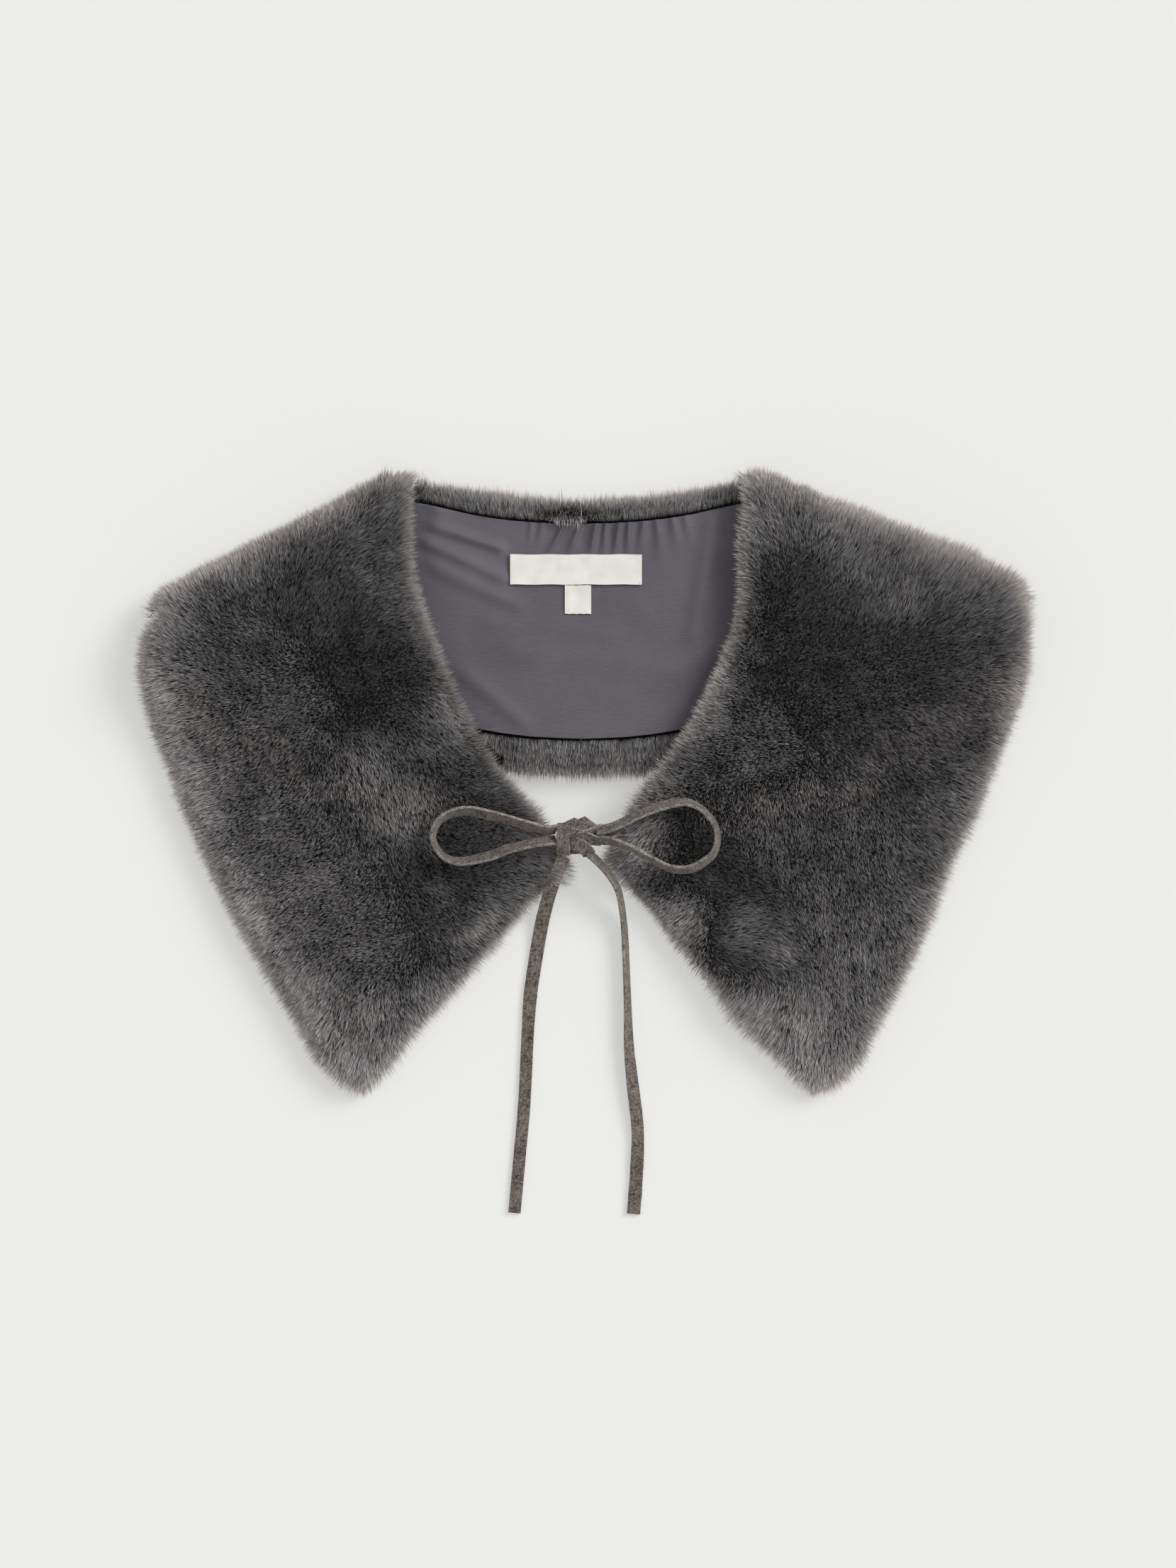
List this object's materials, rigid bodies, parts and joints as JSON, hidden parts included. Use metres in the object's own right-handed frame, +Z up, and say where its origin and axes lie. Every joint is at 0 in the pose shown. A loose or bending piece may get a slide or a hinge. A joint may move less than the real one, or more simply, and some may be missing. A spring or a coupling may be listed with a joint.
{
  "type": "faux fur collar",
  "caption": "Detachable pointed collar in plush faux fur with a cloth lining and a suede tie in a bow, laid flat with both wings folded over the back.",
  "frame": {"origin": "on the surface that the collar lies on, under the middle of its bounding box without the ties", "axes": "+X to the right as seen from above, +Y towards the back of the neck, +Z up"},
  "size_m": [0.4062, 0.34, 0.0295],
  "materials": {
    "fur": "dense charcoal plush, lighter warm grey at the tips",
    "lining": "smooth grey violet twill with a soft sheen",
    "label": "matt woven off-white, blank",
    "suede": "matt napped brown grey suede with paler cut edges"
  },
  "bodies": {
    "root": {"fur_half_left": "fur", "fur_half_right": "fur", "lining": "lining", "neck_label": "label", "size_tab": "label", "tie_knot": "suede", "tie_lead_left": "suede", "tie_lead_right": "suede", "tie_loop_left": "suede", "tie_loop_right": "suede", "tie_tail_left": "suede", "tie_tail_right": "suede"}
  },
  "joints": []
}
